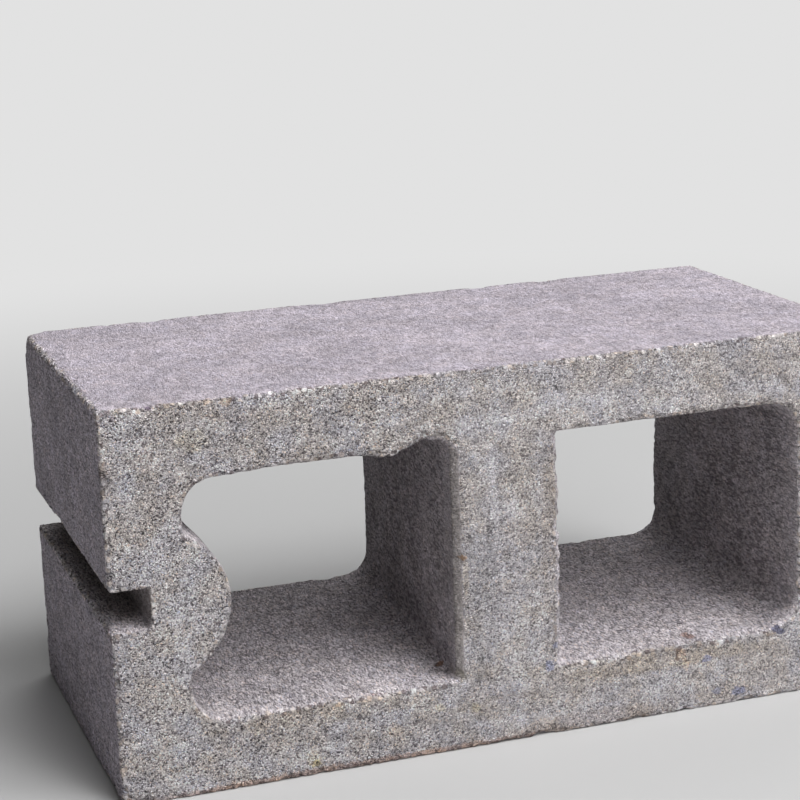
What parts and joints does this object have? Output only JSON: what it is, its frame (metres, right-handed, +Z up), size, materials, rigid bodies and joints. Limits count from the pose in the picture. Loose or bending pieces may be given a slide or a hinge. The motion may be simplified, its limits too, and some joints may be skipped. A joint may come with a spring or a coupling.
{
  "type": "hollow fly ash block",
  "caption": "Grey hollow masonry block of fly ash concrete, lying on its side, with tapered cores either side of a wide web and a square sash groove along one end.",
  "frame": {"origin": "centre of the face shell that the block lies on, at floor level", "axes": "+X along the block's length, from the grooved end to the plain end; +Y through the cores, from the thick bed face to the thin one; +Z up, through the thickness of the wall that the block makes"},
  "size_m": [0.39, 0.19, 0.19],
  "materials": {
    "fly_ash_concrete": "rough, open-grained, unpainted"
  },
  "bodies": {
    "root": {"block": "fly_ash_concrete"}
  },
  "joints": []
}
